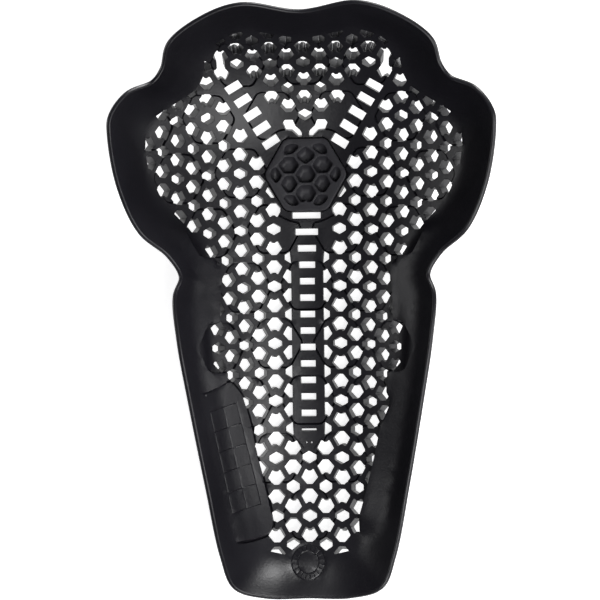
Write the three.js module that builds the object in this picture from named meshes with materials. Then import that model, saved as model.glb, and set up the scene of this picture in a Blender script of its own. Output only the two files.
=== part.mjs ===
// Elbow guard: a soft one-piece shell, hollow towards the arm, and a honeycomb pad at the elbow point.
// Millimetres, +Z up. The shell lies on its back: the hollow faces +Z, the elbow end is at +Y.
import * as THREE from "three";

const { cosh, asinh, sqrt, max, abs, sign, PI } = Math;

// Wall sizes.
const WALL = 5.5; // thickness of the net and of the spine
const LIP = 2; // thickness at the free edge of the rim

// Form of the hollow: hanging-chain curves that start at the edges of a flat spine.
const SPINE_HALF = 7;
const FOREARM_SAG = 46; // size of the curve across the forearm end
const ELBOW_SAG = 88; // size of the curve across the elbow end
const SAG_FROM_Y = -25;
const SAG_TO_Y = 60;
const TOP_BEND_Y = 66; // the spine turns up towards the upper arm from here
const TOP_SAG = 52;
const FOOT_BEND_Y = -66; // and more gently towards the wrist from here
const FOOT_SAG = 150;

// Rim: a row for each station from the middle of the top edge to the middle of the foot edge, right half.
// The lip is the free edge, the net edge is where the rim meets the pierced field, and the rise is how far
// the rim's wall climbs above the field's own curve.
const RIM = [
  { place: "top dip", lipX: 0, lipY: 121.8, rise: 10, netX: 0, netY: 113 },
  { place: "top bump", lipX: 24, lipY: 124.5, rise: 10, netX: 25, netY: 115.5 },
  { place: "top fall", lipX: 40.6, lipY: 119.3, rise: 11, netX: 35, netY: 111.5 },
  { place: "top corner", lipX: 54.4, lipY: 109.4, rise: 12, netX: 39.5, netY: 105.5 },
  { place: "upper notch", lipX: 57.9, lipY: 99.8, rise: 12, netX: 41, netY: 98 },
  { place: "notch foot", lipX: 62.2, lipY: 94.2, rise: 12, netX: 44.5, netY: 93 },
  { place: "wing top", lipX: 72.5, lipY: 88.8, rise: 13, netX: 53, netY: 87 },
  { place: "wing corner", lipX: 79, lipY: 79.5, rise: 13, netX: 63, netY: 79.5 },
  { place: "wing side", lipX: 79.6, lipY: 72, rise: 13, netX: 66, netY: 70 },
  { place: "wing low", lipX: 76.1, lipY: 50.2, rise: 13, netX: 62.5, netY: 50 },
  { place: "wing tail", lipX: 68, lipY: 31.6, rise: 12, netX: 51, netY: 37 },
  { place: "waist top", lipX: 57.2, lipY: 21.9, rise: 11, netX: 42.5, netY: 27 },
  { place: "waist", lipX: 51.9, lipY: 12.5, rise: 11, netX: 39, netY: 13 },
  { place: "hip", lipX: 54.2, lipY: 4, rise: 11, netX: 39.5, netY: 3 },
  { place: "forearm top", lipX: 52.6, lipY: -14.5, rise: 10, netX: 39.5, netY: -15 },
  { place: "forearm middle", lipX: 48.6, lipY: -40, rise: 10, netX: 36.5, netY: -40 },
  { place: "forearm low", lipX: 42, lipY: -78, rise: 10, netX: 28.5, netY: -77 },
  { place: "foot side", lipX: 36, lipY: -107.5, rise: 10, netX: 20.5, netY: -100 },
  { place: "foot corner", lipX: 30.7, lipY: -120.3, rise: 10, netX: 15.5, netY: -105.5 },
  { place: "foot edge", lipX: 18, lipY: -124.5, rise: 10, netX: 8, netY: -107 },
  { place: "foot middle", lipX: 0, lipY: -124.6, rise: 10, netX: 0, netY: -107.4 },
];
const RIM_SAMPLES = 3; // points for each station of the rim
const RIM_STEPS = [0, 0.14, 0.34, 0.62]; // shares of the way from the lip to the net edge

// Net: a triangular grid of openings, measured along the surface from the centre of the elbow pad.
const PITCH = 8.25;
const COLUMN = (PITCH * sqrt(3)) / 2;
const OPENING_RADIUS = 3.4;
const OPENING_CLEAR = 0.6; // material left between an opening and the net edge
const DENSE_COLUMNS = 2; // every place is open this near to the spine, every third place elsewhere
const PLATE_EDGE = { topX: -35, topY: -26, footX: -17, footY: -100 }; // no opening left of this line

// Slots: a ladder down the spine and two slanted rows beside the upper arm.
const SLOT_PITCH = 7.2;
const SLOT_HIGH = 3.2;
const LADDER_START = 18.8; // below the pad's centre
const LADDER_COUNT = 14;
const LADDER_WIDE = [12.6, 10.1, 8.4]; // the first slots are wider, down to the usual width
const SLOT_WIDE = 7.1;
const LADDER_HALF = 6.75; // half width of the plain strip that the ladder is cut in
const LADDER_FOOT = 118.5; // the strip ends this far below the pad's centre
const ARM_START = { x: 15.2, y: 14.6 };
const ARM_TURN = 0.57; // radians from the spine
const ARM_COUNT = 5;
const ARM_CLEAR = 7.7; // from the row of slots to the nearest opening's centre

// Elbow pad and its seat.
const PAD_Y = 57;
const PAD_ACROSS = 16; // half of the distance between opposite flats
const PAD_ROUND = 3.5;
const PAD_PLAY = 0.3;
const SEAT_DEPTH = 3.2;
const PAD_PROUD = 1.9;
const CELL_DEPTH = 3.6;
const CELL_RADIUS = 3.75;
const PAD_BORDER = 2.6;

const flat = (x, y) => new THREE.Vector2(x, y);

// The hanging-chain curve: its height after a run, and its run for a length along it.
const chainHeight = (run, sag) => sag * (cosh(run / sag) - 1);
const chainRun = (length, sag) => sag * asinh(length / sag);

function sagAcross(y) {
  const share = THREE.MathUtils.smoothstep(y, SAG_FROM_Y, SAG_TO_Y);
  return THREE.MathUtils.lerp(FOREARM_SAG, ELBOW_SAG, share);
}

// Height of the field's inner face above the table.
function fieldHeight(x, y) {
  const across = chainHeight(max(0, abs(x) - SPINE_HALF), sagAcross(y));
  const up = chainHeight(max(0, y - TOP_BEND_Y), TOP_SAG);
  const down = chainHeight(max(0, FOOT_BEND_Y - y), FOOT_SAG);
  return WALL + across + up + down;
}

const fieldPoint = (x, y) => new THREE.Vector3(x, y, fieldHeight(x, y));

// Unit normal of a surface given by two running values, by central differences.
function normalOf(surface, a, b, step) {
  const alongA = surface(a + step, b).sub(surface(a - step, b));
  const alongB = surface(a, b + step).sub(surface(a, b - step));
  return alongA.cross(alongB).normalize();
}

// Plan position of a net place: across and up are lengths along the surface from the pad's centre.
function fromNet(across, up) {
  const along = PAD_Y + up;
  let y = along;
  if (along > TOP_BEND_Y) y = TOP_BEND_Y + chainRun(along - TOP_BEND_Y, TOP_SAG);
  if (along < FOOT_BEND_Y) y = FOOT_BEND_Y - chainRun(FOOT_BEND_Y - along, FOOT_SAG);
  const bent = max(0, abs(across) - SPINE_HALF);
  const level = abs(across) - bent;
  return flat(sign(across) * (level + chainRun(bent, sagAcross(y))), y);
}

// The rim's two edge curves, closed and mirrored from the table.
function rimCurve(toPoint) {
  const right = RIM.map(toPoint);
  const left = right.slice(1, -1).reverse();
  const mirrored = left.map((p) => new THREE.Vector3(-p.x, p.y, p.z));
  const clockwise = [...right, ...mirrored];
  return new THREE.CatmullRomCurve3(clockwise.reverse(), true, "centripetal");
}

const lipCurve = rimCurve((row) => new THREE.Vector3(row.lipX, row.lipY, row.rise));
const netCurve = rimCurve((row) => new THREE.Vector3(row.netX, row.netY, 0));
const RIM_COUNT = lipCurve.points.length * RIM_SAMPLES;

// A point of the rim's inner face: turn runs round the rim, inward runs from the lip to the net edge.
function rimPoint(turn, inward) {
  const lip = lipCurve.getPoint((turn + 1) % 1);
  const net = netCurve.getPoint((turn + 1) % 1);
  const x = THREE.MathUtils.lerp(lip.x, net.x, inward);
  const y = THREE.MathUtils.lerp(lip.y, net.y, inward);
  return new THREE.Vector3(x, y, fieldHeight(x, y) + lip.z * (1 - inward) ** 2);
}

// Shapes in plan, each listed anticlockwise.
function ngon(sides, radius, firstAngle) {
  return Array.from({ length: sides }, (_, k) => {
    const angle = firstAngle + (2 * PI * k) / sides;
    return flat(radius * Math.cos(angle), radius * Math.sin(angle));
  });
}

function rectangle(wide, high) {
  const corners = [[-1, -1], [1, -1], [1, 1], [-1, 1]];
  return corners.map(([x, y]) => flat((x * wide) / 2, (y * high) / 2));
}

// A hexagon with a corner at each side and rounded corners, by half of its distance across flats.
function roundedHexagon(halfAcross, round) {
  const corners = ngon(6, ((halfAcross - round) * 2) / sqrt(3), 0);
  const turns = [-PI / 6, 0, PI / 6];
  return corners.flatMap((corner, k) =>
    turns.map((turn) => {
      const angle = (PI / 3) * k + turn;
      return flat(corner.x + round * Math.cos(angle), corner.y + round * Math.sin(angle));
    }),
  );
}

// The part of a convex outline that lies inside another one.
function clipConvex(outline, keeper) {
  let kept = outline;
  keeper.forEach((from, k) => {
    const edge = keeper[(k + 1) % keeper.length].clone().sub(from);
    const side = (p) => edge.cross(p.clone().sub(from));
    const next = [];
    kept.forEach((p, i) => {
      const q = kept[(i + 1) % kept.length];
      const [sp, sq] = [side(p), side(q)];
      if (sp >= 0) next.push(p);
      if (sp * sq < 0) next.push(p.clone().lerp(q, sp / (sp - sq)));
    });
    kept = next;
  });
  return kept;
}

// How far a place lies inside an outline, negative outside it.
function insideBy(outline, place) {
  let nearest = Infinity;
  let inside = false;
  outline.forEach((a, k) => {
    const b = outline[(k + 1) % outline.length];
    const edge = b.clone().sub(a);
    const share = THREE.MathUtils.clamp(place.clone().sub(a).dot(edge) / edge.lengthSq(), 0, 1);
    nearest = Math.min(nearest, a.clone().addScaledVector(edge, share).distanceTo(place));
    const crosses = a.y > place.y !== b.y > place.y;
    if (crosses && place.x < a.x + (edge.x * (place.y - a.y)) / edge.y) inside = !inside;
  });
  return inside ? nearest : -nearest;
}

// A closed skin, gathered from loops of shared points.
class Skin {
  points = [];
  faces = [];

  loop(points) {
    const first = this.points.length;
    this.points.push(...points);
    return points.map((_, k) => first + k);
  }

  // A band of triangles from one loop to another of the same count.
  band(from, to) {
    from.forEach((a, k) => {
      const next = (k + 1) % from.length;
      this.faces.push([a, to[k], to[next]], [a, to[next], from[next]]);
    });
  }

  // A sheet inside an outline with openings; facing up keeps the outline's own sense.
  sheet(plan, planHoles, outline, holes, facesUp) {
    const ids = [outline, ...holes].flat();
    for (const [a, b, c] of evenTriangles(plan.map(bend), planHoles.map((hole) => hole.map(bend)))) {
      this.faces.push(facesUp ? [ids[a], ids[b], ids[c]] : [ids[a], ids[c], ids[b]]);
    }
  }

  mesh(name, material) {
    const geometry = new THREE.BufferGeometry().setFromPoints(this.points);
    geometry.setIndex(this.faces.flat());
    geometry.computeVertexNormals();
    const mesh = new THREE.Mesh(geometry, material);
    mesh.name = name;
    return mesh;
  }
}

// A hair of bending, because three points exactly on a line would lose the middle one.
const bend = (p) => flat(p.x + 1e-4 * p.y ** 2, p.y + 1e-4 * p.x ** 2);

// Triangles of an outline with openings; edges are swapped until no two neighbours are needlessly thin.
function evenTriangles(plan, planHoles) {
  const places = [plan, ...planHoles].flat();
  const faces = THREE.ShapeUtils.triangulateShape(plan, planHoles).map(([a, b, c]) => {
    const area = places[b].clone().sub(places[a]).cross(places[c].clone().sub(places[a]));
    return area > 0 ? [a, b, c] : [a, c, b];
  });
  let swapped = true;
  while (swapped) {
    swapped = false;
    const owner = new Map();
    faces.forEach((face, f) =>
      face.forEach((a, k) => owner.set(a + ":" + face[(k + 1) % 3], [f, face[(k + 2) % 3]])),
    );
    const touched = new Set();
    for (const [edge, [f, c]] of owner) {
      const [a, b] = edge.split(":").map(Number);
      const across = owner.get(b + ":" + a);
      if (!across || touched.has(f) || touched.has(across[0])) continue;
      const [g, d] = across;
      if (!shouldSwap(places[a], places[b], places[c], places[d])) continue;
      faces[f] = [a, d, c];
      faces[g] = [d, b, c];
      touched.add(f).add(g);
      swapped = true;
    }
  }
  return faces;
}

// True where the edge a-b, with c to its left and d to its right, is better replaced by c-d.
function shouldSwap(a, b, c, d) {
  const angleAt = (tip) => {
    const toA = a.clone().sub(tip);
    const toB = b.clone().sub(tip);
    return Math.atan2(abs(toA.cross(toB)), toA.dot(toB));
  };
  const turn = (p, q, r) => q.clone().sub(p).cross(r.clone().sub(p));
  const convex = turn(a, d, c) > 1e-6 && turn(d, b, c) > 1e-6;
  return convex && angleAt(c) + angleAt(d) > PI + 1e-6;
}

const rubber = (color, roughness) => new THREE.MeshStandardMaterial({ color, roughness, metalness: 0 });

// Slots of the ladder, as outlines in plan.
function ladderSlots() {
  return Array.from({ length: LADDER_COUNT }, (_, k) => {
    const wide = LADDER_WIDE[k] ?? SLOT_WIDE;
    const down = LADDER_START + k * SLOT_PITCH;
    return rectangle(wide, SLOT_HIGH).map((p) => fromNet(p.x, p.y - down));
  });
}

// Centre of a slot in the slanted row on one side, in net lengths.
function armPlace(side, k) {
  const run = k * SLOT_PITCH;
  return flat(side * (ARM_START.x + run * Math.sin(ARM_TURN)), ARM_START.y + run * Math.cos(ARM_TURN));
}

function armSlots() {
  return [1, -1].flatMap((side) =>
    Array.from({ length: ARM_COUNT }, (_, k) => {
      const middle = armPlace(side, k);
      return rectangle(SLOT_WIDE, SLOT_HIGH).map((p) => {
        const turned = p.clone().rotateAround(flat(0, 0), -side * ARM_TURN).add(middle);
        return fromNet(turned.x, turned.y);
      });
    }),
  );
}

// True where a net place is free for an opening.
function isOpen(place, netEdge) {
  const seat = roundedHexagon(PAD_ACROSS + PAD_PLAY, PAD_ROUND);
  if (insideBy(seat, place) > -OPENING_RADIUS - OPENING_CLEAR) return false;
  const besideLadder = place.y < 0 && place.y > -LADDER_FOOT - PITCH / 2;
  if (besideLadder && abs(place.x) < LADDER_HALF + OPENING_RADIUS + OPENING_CLEAR) return false;
  const reach = flat(Math.sin(ARM_TURN), Math.cos(ARM_TURN));
  const offset = flat(abs(place.x), place.y).sub(armPlace(1, 0));
  const run = offset.dot(reach);
  if (abs(reach.cross(offset)) < ARM_CLEAR && run > -PITCH && run < ARM_COUNT * SLOT_PITCH) return false;
  const plan = fromNet(place.x, place.y);
  const { topX, topY, footX, footY } = PLATE_EDGE;
  const plateX = topX + ((footX - topX) * (plan.y - topY)) / (footY - topY);
  if (plan.y < topY && plan.x < plateX + OPENING_RADIUS) return false;
  return insideBy(netEdge, plan) > OPENING_RADIUS + OPENING_CLEAR;
}

// Hexagonal openings of the net, with a corner towards the elbow. Odd columns stand half a pitch higher.
function netOpenings(netEdge) {
  const openings = [];
  for (let column = -10; column <= 10; column++) {
    for (let row = -22; row <= 12; row++) {
      const odd = column % 2 !== 0;
      const third = (row - (odd ? 1 : 0)) % 3 === 0;
      const dense = abs(column) <= DENSE_COLUMNS && row < 0;
      if (!third && !dense) continue;
      const middle = flat(column * COLUMN, (row + (odd ? 0.5 : 0)) * PITCH);
      if (!isOpen(middle, netEdge)) continue;
      const corners = ngon(6, OPENING_RADIUS, PI / 2);
      openings.push(corners.map((p) => fromNet(middle.x + p.x, middle.y + p.y)));
    }
  }
  return openings;
}

function buildShell() {
  const skin = new Skin();
  const turns = Array.from({ length: RIM_COUNT }, (_, k) => k / RIM_COUNT);

  // Rim: rows of inner and outer points from the lip inwards.
  const rows = RIM_STEPS.map((inward) => {
    const inner = turns.map((turn) => rimPoint(turn, inward));
    const thick = THREE.MathUtils.lerp(LIP, WALL, inward);
    const outer = turns.map((turn, k) => {
      const normal = normalOf(rimPoint, turn, inward, 1e-4);
      if (normal.z < 0) normal.negate();
      return inner[k].clone().addScaledVector(normal, -thick);
    });
    return { inner: skin.loop(inner), outer: skin.loop(outer) };
  });

  // Points of the field's two faces.
  const fieldLoop = (plan, depth) => skin.loop(plan.map((p) => {
    const normal = normalOf(fieldPoint, p.x, p.y, 1e-3);
    return fieldPoint(p.x, p.y).addScaledVector(normal, -depth);
  }));
  const bothFaces = (plan) => ({ inner: fieldLoop(plan, 0), outer: fieldLoop(plan, WALL) });

  const netEdge = turns.map((turn) => netCurve.getPoint(turn)).map((p) => flat(p.x, p.y));
  const openings = [...netOpenings(netEdge), ...armSlots(), ...ladderSlots()];
  const seat = roundedHexagon(PAD_ACROSS + PAD_PLAY, PAD_ROUND).map((p) => flat(p.x, p.y + PAD_Y));

  const edge = bothFaces(netEdge);
  const through = openings.map(bothFaces);
  const seatRim = fieldLoop(seat, 0);
  const seatFloor = skin.loop(seat.map((p) => new THREE.Vector3(p.x, p.y, WALL - SEAT_DEPTH)));

  // Inner face with the seat sunk into it, outer face, and the walls of the openings.
  const innerHoles = through.map((loop) => loop.inner);
  const outerHoles = through.map((loop) => loop.outer);
  skin.sheet(netEdge, [...openings, seat], edge.inner, [...innerHoles, seatRim], true);
  skin.sheet(seat, [], seatFloor, [], true);
  skin.band(seatFloor, seatRim);
  skin.sheet(netEdge, openings, edge.outer, outerHoles, false);
  through.forEach((loop) => skin.band(loop.outer, loop.inner));

  // Rim faces and the free edge.
  [...rows, edge].forEach((row, k, all) => {
    if (k === 0) return;
    skin.band(row.inner, all[k - 1].inner);
    skin.band(all[k - 1].outer, row.outer);
  });
  skin.band(rows[0].inner, rows[0].outer);
  return skin.mesh("guard_shell", rubber("#1b1b1d", 0.55));
}

// Cells of the pad: the same grid as the net, cut off along the border.
function padCells() {
  const border = roundedHexagon(PAD_ACROSS - PAD_BORDER, PAD_ROUND);
  const cells = [];
  for (let column = -2; column <= 2; column++) {
    for (let row = -2; row <= 2; row++) {
      const middle = flat(column * COLUMN, (row + (column % 2 ? 0.5 : 0)) * PITCH);
      const cell = clipConvex(ngon(6, CELL_RADIUS, 0).map((p) => p.add(middle)), border);
      if (cell.length > 2 && abs(THREE.ShapeUtils.area(cell)) > 6) cells.push(cell);
    }
  }
  return cells;
}

function buildPad() {
  const skin = new Skin();
  const top = WALL + PAD_PROUD;
  const bottom = WALL - SEAT_DEPTH + PAD_PLAY;
  const at = (plan, z) => skin.loop(plan.map((p) => new THREE.Vector3(p.x, p.y + PAD_Y, z)));
  const outline = roundedHexagon(PAD_ACROSS, PAD_ROUND);
  const cells = padCells();
  const upper = at(outline, top);
  const lower = at(outline, bottom);
  const mouths = cells.map((cell) => at(cell, top));
  const floors = cells.map((cell) => at(cell, top - CELL_DEPTH));
  skin.sheet(outline, cells, upper, mouths, true);
  skin.sheet(outline, [], lower, [], false);
  skin.band(upper, lower);
  cells.forEach((cell, k) => {
    skin.sheet(cell, [], floors[k], [], true);
    skin.band(floors[k], mouths[k]);
  });
  return skin.mesh("elbow_pad", rubber("#232325", 0.6));
}

const guard = new THREE.Group();
guard.name = "elbow_guard";
guard.add(buildShell(), buildPad());

export default guard;
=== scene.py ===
import math

import bmesh
import bpy
import numpy as np
from mathutils import Matrix, Vector, kdtree
from mathutils.geometry import delaunay_2d_cdt


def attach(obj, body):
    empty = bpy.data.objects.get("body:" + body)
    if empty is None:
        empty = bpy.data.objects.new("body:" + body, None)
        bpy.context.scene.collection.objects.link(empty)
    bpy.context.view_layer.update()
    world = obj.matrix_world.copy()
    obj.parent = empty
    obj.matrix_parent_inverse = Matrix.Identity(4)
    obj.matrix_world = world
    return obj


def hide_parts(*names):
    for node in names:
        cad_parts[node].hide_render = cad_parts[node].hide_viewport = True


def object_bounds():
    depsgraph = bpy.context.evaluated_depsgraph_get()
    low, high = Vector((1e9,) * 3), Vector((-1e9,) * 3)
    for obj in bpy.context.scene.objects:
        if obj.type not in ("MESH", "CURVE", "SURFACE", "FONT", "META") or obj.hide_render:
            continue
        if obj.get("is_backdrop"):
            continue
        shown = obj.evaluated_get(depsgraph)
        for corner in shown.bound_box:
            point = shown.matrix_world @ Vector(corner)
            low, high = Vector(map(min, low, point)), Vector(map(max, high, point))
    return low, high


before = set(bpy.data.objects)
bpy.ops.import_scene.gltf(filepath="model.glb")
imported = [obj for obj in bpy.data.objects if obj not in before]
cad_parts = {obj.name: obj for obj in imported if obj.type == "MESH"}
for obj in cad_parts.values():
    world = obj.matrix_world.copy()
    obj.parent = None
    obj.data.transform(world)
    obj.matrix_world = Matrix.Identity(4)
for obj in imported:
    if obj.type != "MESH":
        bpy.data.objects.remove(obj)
cad_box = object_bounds()

MM = 0.001

# Wall sizes.
WALL = 5.5  # thickness of the net and of the spine
LIP = 2.0  # thickness at the free edge of the rim
EDGE_ROUND = 0.12  # bevel along the edge of a hole
DRAFT = 0.12  # how much a hole narrows towards the back
DRAW = -0.25  # how far the holes lean from square to the surface towards straight up; less than 0 is away
DRAW_SHARE = (0.35, 0.9)  # the lean sets in between these shares of the way from the lip to the net edge

# Form of the hollow: hanging-chain curves that start at the edges of a flat spine.
SPINE_HALF = 7.0
FOREARM_SAG = 46.0
ELBOW_SAG = 88.0
SAG_FROM_Y, SAG_TO_Y = -25.0, 60.0
TOP_BEND_Y, TOP_SAG = 66.0, 52.0
FOOT_BEND_Y, FOOT_SAG = -66.0, 150.0

# Rim stations from the middle of the top edge to the middle of the foot edge, right half.
# Columns: place, lip x, lip y, rise of the rim's wall, net x, net y.
RIM = (
    ("top dip", 0, 121.8, 10, 0, 113),
    ("top bump", 24, 124.5, 10, 25, 115.5),
    ("top fall", 40.6, 119.3, 11, 35, 111.5),
    ("top corner", 54.4, 109.4, 12, 39.5, 105.5),
    ("upper notch", 57.9, 99.8, 12, 41, 98),
    ("notch foot", 62.2, 94.2, 12, 44.5, 93),
    ("wing top", 72.5, 88.8, 13, 53, 87),
    ("wing corner", 79, 79.5, 13, 63, 79.5),
    ("wing side", 79.6, 72, 13, 66, 70),
    ("wing low", 76.1, 50.2, 13, 62.5, 50),
    ("wing tail", 68, 31.6, 12, 51, 37),
    ("waist top", 57.2, 21.9, 11, 42.5, 27),
    ("waist", 51.9, 12.5, 11, 39, 13),
    ("hip", 54.2, 4, 11, 39.5, 3),
    ("forearm top", 52.6, -14.5, 10, 39.5, -15),
    ("forearm middle", 48.6, -40, 10, 36.5, -40),
    ("forearm low", 42, -78, 10, 28.5, -77),
    ("foot side", 36, -107.5, 10, 20.5, -100),
    ("foot corner", 30.7, -120.3, 10, 15.5, -105.5),
    ("foot edge", 18, -124.5, 10, 8, -107),
    ("foot middle", 0, -124.6, 10, 0, -107.4),
)
RIM_SAMPLES = 12  # points for each station
RIM_ROWS = (0.0, 0.1, 0.2)  # shares of the way from the lip to the net edge, in plain rows
RIM_SPLIT = 0.3  # from here inwards the rim is laid out together with the net
FIELD_SHARE = 0.86  # holes reach out to here
LIP_TURNS = (30, 60, 90, 120, 150)  # degrees round the rounded lip
LIP_BULGE = 0.6  # how round the lip is, 1 for a half circle

# Net: a triangular grid of holes, in lengths along the surface from the centre of the elbow pad.
PITCH = 8.25
COLUMN = PITCH * math.sqrt(3) / 2
LOW_PITCH = 8.4  # rows below the pad lie a little further apart
NET_RISE, NET_BOW = 1.7, 40.0  # the rows bow: raised in the middle, level this far to the sides
# Outer columns of the forearm lie closer to the middle by up to this share. That sets in between the two
# columns and between the first two of the rows below the pad, and ends between the last two.
NET_NARROW = 0.055
NARROW_COLUMNS = (1, 5)
NARROW_ROWS = (3, 8, 11, 14)
NET_COLUMNS = 11  # to each side of the middle one
NET_ROWS = (-23, 13)  # the first row and the one after the last, counted up from the pad's centre
STAR_RADIUS = 3.8  # half width of a six-sided hole with a nub on its longer flat
STAR_SHORT, STAR_SHIFT = 1.3, 0.3  # half length of its shorter flat, side corners nearer to that flat
NUB_DEEP, NUB_HALF = 0.7, 1.1  # depth and half width of the nub
RING_SIZES = ((3.2, 2.95, 1.1), (2.85, 3.1, 1.2))  # half width, half height, half side: even, odd columns
CORNER_ROUND = 0.28  # of the holes
# Size of the net's holes along the surface. Columns: length above the pad's centre, size.
HOLE_SIZE = ((-130, 1.02), (-95, 1.0), (-50, 0.97), (0, 0.95), (60, 0.96))
SMALLEST_HOLE = 5  # square millimetres
THINNEST_HOLE = 0.65  # area for each millimetre of outline

# Slots: a ladder down the spine and two slanted rows beside the upper arm.
SLOT_PITCH = 7.26
LADDER_START = 17.8  # middle of the first slot, below the pad's centre
LADDER_COUNT = 14
LADDER_WIDE = (12.8, 10.3, 8.4, 7.4)  # the first slots are wider, down to the usual width
SLOT_WIDE, SLOT_HIGH = 6.9, 3.2
LAST_SLOT_HIGH = 1.3
ARM_START = (15.2, 14.6)  # middle of the first slanted slot, right side
ARM_TURN = 0.57  # radians from the spine
ARM_COUNT = 5
ARM_WIDE, ARM_HIGH = 7.8, 4.1
ARM_DRAW = 0.7  # the same as DRAW, for the slanted slots
ARM_DRAW_BESIDE = (4.5, 13)  # it gives way to DRAW between these distances from the row
ARM_DRAW_RUN = (-14, -3, 33, 42)  # and sets in and gives way between these lengths along the row
ARM_OUT, ARM_IN, ARM_REACH = 6.6, 8.2, 33.5  # the plain band round the slanted slots
PIN_HOLES = ((-1.1, -117.9), (1.1, -117.9))  # two small round holes at the strip's tip
PIN_RADIUS, PIN_POINTS = 0.6, 10
WAIST_HOLE = ((35.7, 49.5), (3.8, 5.0))  # joins two holes above each arm: middle, size
NECK_HOLE = ((1.4, 16.6), (3.2, 16.6), (5.8, 19.1), (8.7, 19.6), (10, 22.7), (8.9, 24.2), (5.3, 24.2),
             (4.4, 21.8), (2.2, 19.8), (1.4, 18.4))  # curved hole above the pad, right side

# Plain strip of the ladder: length below the pad's centre, half width.
STRIP = ((0, 11.2), (31, 11.2), (33.5, 6.9), (114.5, 6.9), (120, 2.3), (121, -6.0))

# Elbow pad and its seat.
PAD_Y = 57.0
PAD_ACROSS = 16.0  # from its centre to a flat
PAD_ROUND = 4.0  # of its corners
PAD_PLAY = 0.3  # gap under it
SEAT_DEPTH = 3.2
SEAT_STEP = (0.15, 0.3)  # the seat's flank starts this far outside the pad and is this wide
PAD_PROUD = 1.9  # how far it stands above the net
PAD_EDGE = 0.6  # rounding of its upper edge
PAD_EDGE_TURNS = (0, 30, 60, 90)  # degrees round the pad's upper edge
CELL_GROW = 0.45  # added round the mouths listed below
CELL_ROUND = (0.8, 0.3)  # the mouths' corners are softened twice
CELL_BOWL = ((0.15, 0.1), (0.4, 0.9), (0.75, 1.8), (1.15, 2.5), (1.7, 3.0), (2.4, 3.2))  # inset, depth
CELL_SHIFT = 0.5  # the bowls' floors lie lower on the pad, by this share of the inset
CELL_MOST = 0.8  # a bowl narrows by at most this share

# Mouths of the pad's blind cells, from the pad's centre. Cells on the middle line list their right half from
# the top down, the others their whole outline on the right side, anticlockwise.
MIDDLE_CELLS = {
    "upper": ((0, 12.3), (3.9, 9.2), (3.5, 7.5), (0, 4.8)),
    "centre": ((1.7, 4), (4.3, 0), (2.5, -3.2)),
    "lower": ((2.4, -4.8), (4.4, -8), (2.3, -11.8), (0.9, -11.8), (0.5, -11.1)),
}
SIDE_CELLS = {
    "top": ((3.2, 12), (5.9, 9.5), (9.1, 9.1), (9.5, 10.2), (8.2, 12.7), (6.3, 13.5), (3.5, 13.1)),
    "upper": ((3.1, 4.5), (5.1, 0.9), (9.6, 0.9), (11.8, 4.6), (10.6, 6), (9.9, 6.1), (9.3, 7.7), (5.5, 7.7)),
    "outer": ((10.6, -0.4), (12, -2.6), (13, -3.5), (14.8, -1.3), (15.2, 0.8), (14.3, 2.8), (13.2, 3.5)),
    "lower": ((6, -0.5), (3.7, -4.1), (6.4, -7.6), (8.3, -7.6), (10.7, -4.1), (8.6, -0.5)),
    "foot": ((5.4, -9.1), (3.3, -12.4), (3.6, -13.2), (6.1, -13.4), (8.3, -12.1), (9.6, -10), (9.1, -9.1)),
}

# Relief of the inner face.
STEP = 0.8  # width of a step's flank
TILE_ACROSS, TILE_ROUND = 10.7, 3.4  # sunken rounded hexagons
TILE_REACH = 2  # a tile's centre may lie this far outside the net
# Edge of a tile: a grooved step, and a plain one along the upper side of the tiles below the pad.
# Columns: distance outside the tile, height.
TILE_EDGE = ((-0.6, -0.3), (-0.15, -1.1), (0.3, 0.3))
TILE_TOP_EDGE = ((-0.15, -0.3), (0.3, 0.1))
TILE_TOP_TURN = (0.84, 0.94)  # the upper side sets in between these cosines of the turn from straight up
TILE_TOP_BELOW = (14, 24)  # and between these lengths below the pad's centre
TILE_FADE = (-0.8, 0.8)  # the step sets in between these distances inside the net
TILE_ON_FLANGE = 2.2  # and this much further out on the flange
LOBE_PLACE, LOBE_RADIUS = (8.9, 12.6), 7.1  # two round bosses above the pad
COLLAR_RADIUS = 21.3  # round boss below the pad
FLANGE_RAISE = 2.3  # thicker rim beside the forearm
FLANGE_Y = (-104, -92, 28, 37)  # fades in between the first two and out between the last two
FLANGE_SHARE = (0.32, 0.7)  # rises between these shares of the way from the lip to the net edge
FLANGE_IN, FLANGE_IN_Y = 3.6, (17, 23)  # reach into the net between the tiles, and where that ends
FLANGE_POCKET = (2.5, 6.0)  # the tiles' pockets in the flange run out between these distances outside the net
DISH, PAD_DISH = 0.4, 0.9  # the strip and the pad's upper face are this much hollow across
DISH_BELOW = (20, 24)  # the strip's hollow sets in between these lengths below the pad's centre
PLATE_RAISE = 0.7  # plain plate on the left of the forearm
PLATE_SHARE = (0.32, 0.5)  # the plate sets in between these shares of the way from the lip to the net edge
PLATE_GROOVE, PLATE_GROOVE_AT, PLATE_GROOVE_HALF = 1.0, 0.3, 0.6  # groove along the plate's edge
PLATE_ROUND = 2.5  # of its corners
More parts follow.
